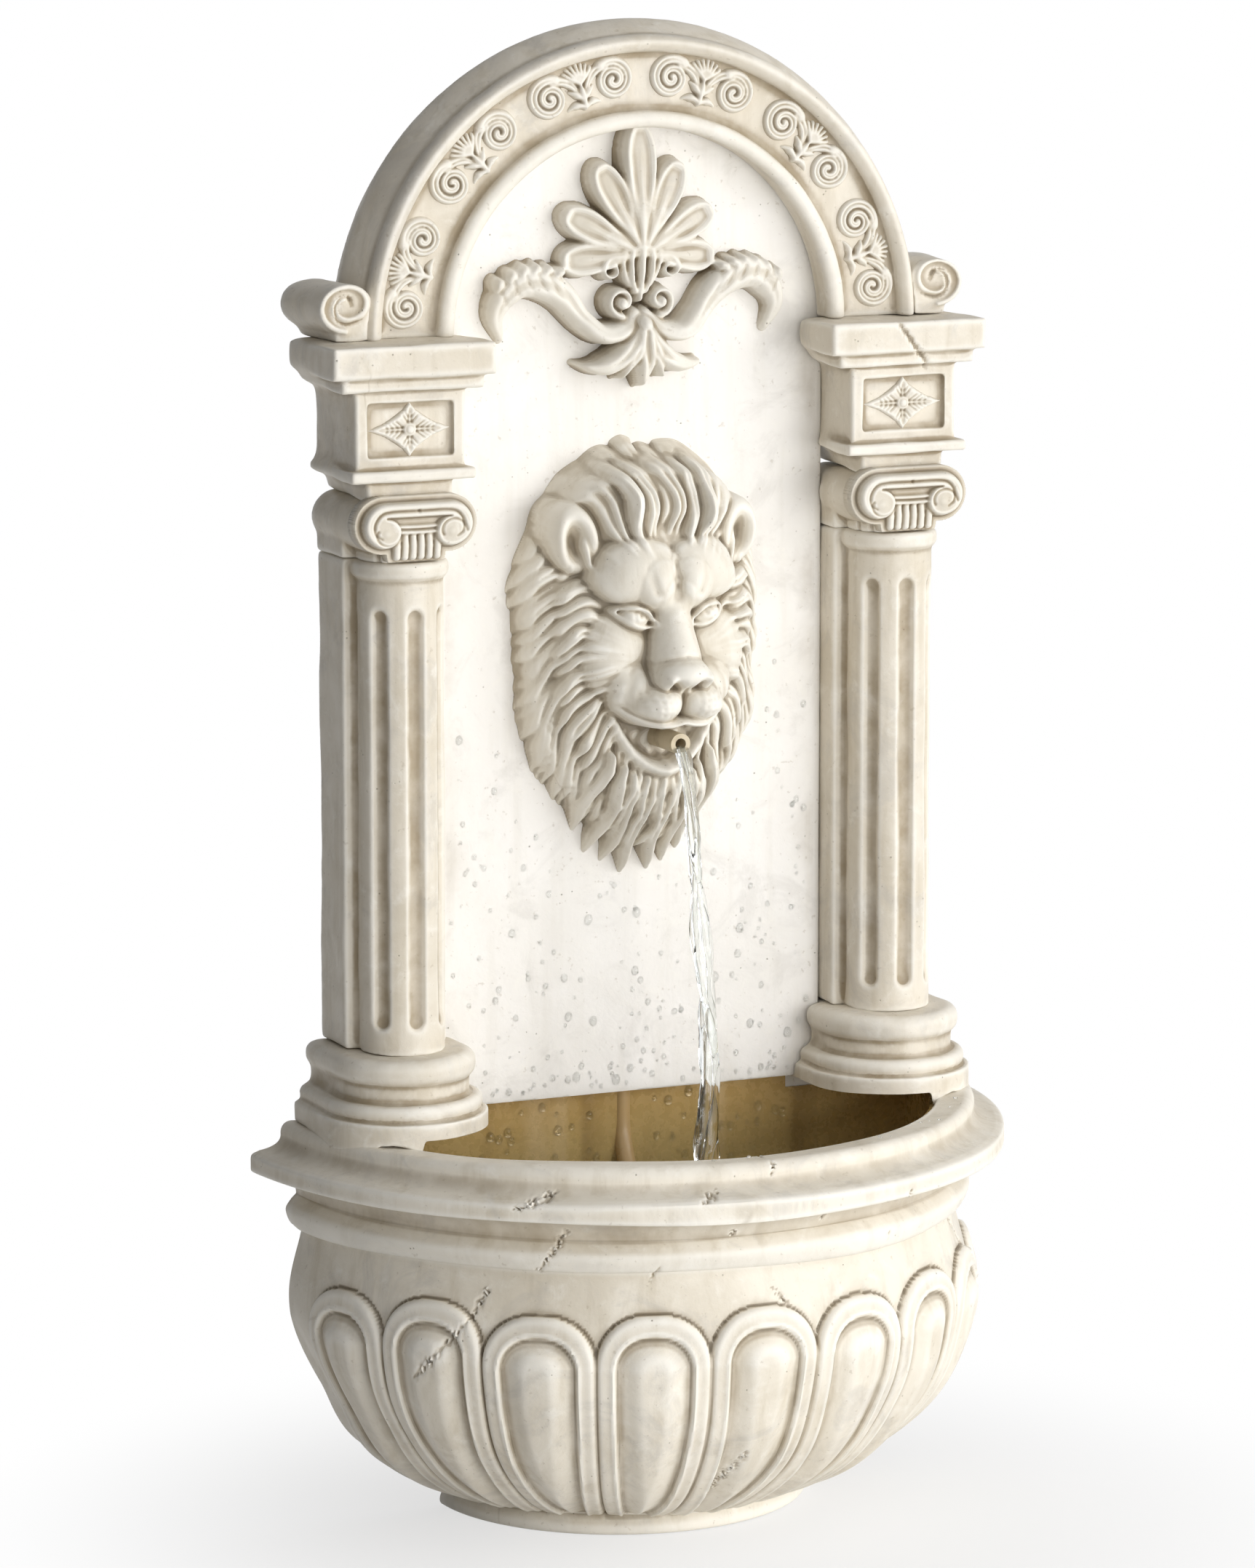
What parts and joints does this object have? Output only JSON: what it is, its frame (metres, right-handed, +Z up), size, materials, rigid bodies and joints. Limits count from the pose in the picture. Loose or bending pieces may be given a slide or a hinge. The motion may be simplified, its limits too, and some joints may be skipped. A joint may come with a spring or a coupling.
{
  "type": "garden wall fountain",
  "caption": "Half-round wall fountain in cast stone with a columned arch back, a lion-mask spout, a lined basin and a submersible pump.",
  "frame": {"origin": "on the floor under the middle of the box: x at the centre line, y halfway from the wall plane to the front of the rim, z at the foot", "axes": "+Z up, -Y to the front, the flat back faces +Y, +X to the viewer's right from the front"},
  "size_m": [0.42, 0.21, 0.8],
  "materials": {
    "ivory_cast_stone": "matt cast stone, antiqued",
    "bronze_liner_coat": "bronze-coloured waterproof coat, wet",
    "grey_cover_plastic": "matt",
    "steel_hardware": "zinc plated",
    "black_rubber": "matt",
    "brass_spout": "tarnished",
    "hose_plastic": "satin",
    "black_pump_plastic": "moulded",
    "rotor_ferrite": "matt",
    "shaft_ceramic": "polished",
    "dial_plastic": "moulded"
  },
  "bodies": {
    "fountain": {"basin_shell": "ivory_cast_stone", "back_panel": "ivory_cast_stone", "archivolt": "ivory_cast_stone", "arch_scrollwork": "ivory_cast_stone", "left_pilaster": "ivory_cast_stone", "right_pilaster": "ivory_cast_stone", "left_column_base": "ivory_cast_stone", "right_column_base": "ivory_cast_stone", "left_capital": "ivory_cast_stone", "right_capital": "ivory_cast_stone", "left_entablature": "ivory_cast_stone", "right_entablature": "ivory_cast_stone", "left_acroterion": "ivory_cast_stone", "right_acroterion": "ivory_cast_stone", "frieze_rosettes": "ivory_cast_stone", "palmette_crest": "ivory_cast_stone", "lion_mask": "ivory_cast_stone", "basin_liner": "bronze_liner_coat", "rear_cover": "grey_cover_plastic", "rear_cover_screws": "steel_hardware", "cord_grommet": "black_rubber", "joint_dowels": "steel_hardware", "hanger_plates": "steel_hardware", "hanger_screws": "steel_hardware", "spout_tube": "brass_spout", "supply_hose": "hose_plastic", "hose_clamps": "steel_hardware", "pump_body": "black_pump_plastic", "impeller_cover": "black_pump_plastic", "impeller_shaft": "shaft_ceramic", "shaft_bushes": "black_rubber", "suction_feet": "black_rubber", "cable_gland": "black_rubber"},
    "rotor": {"impeller": "rotor_ferrite"},
    "strainer": {"intake_strainer": "black_pump_plastic"},
    "dial": {"flow_dial": "dial_plastic"}
  },
  "joints": [
    {"name": "impeller_spin", "type": "hinge", "parent": "fountain", "child": "rotor", "pos_m": [0, 0.049, 0.0545], "axis": [0, -1, 0], "continuous": true},
    {"name": "strainer_pull", "type": "slide", "parent": "fountain", "child": "strainer", "axis": [0, -1, 0], "range_m": [0, 0.03]},
    {"name": "dial_turn", "type": "hinge", "parent": "strainer", "child": "dial", "pos_m": [0, 0.025, 0.0545], "axis": [0, -1, 0], "range_deg": [0, 90]}
  ]
}
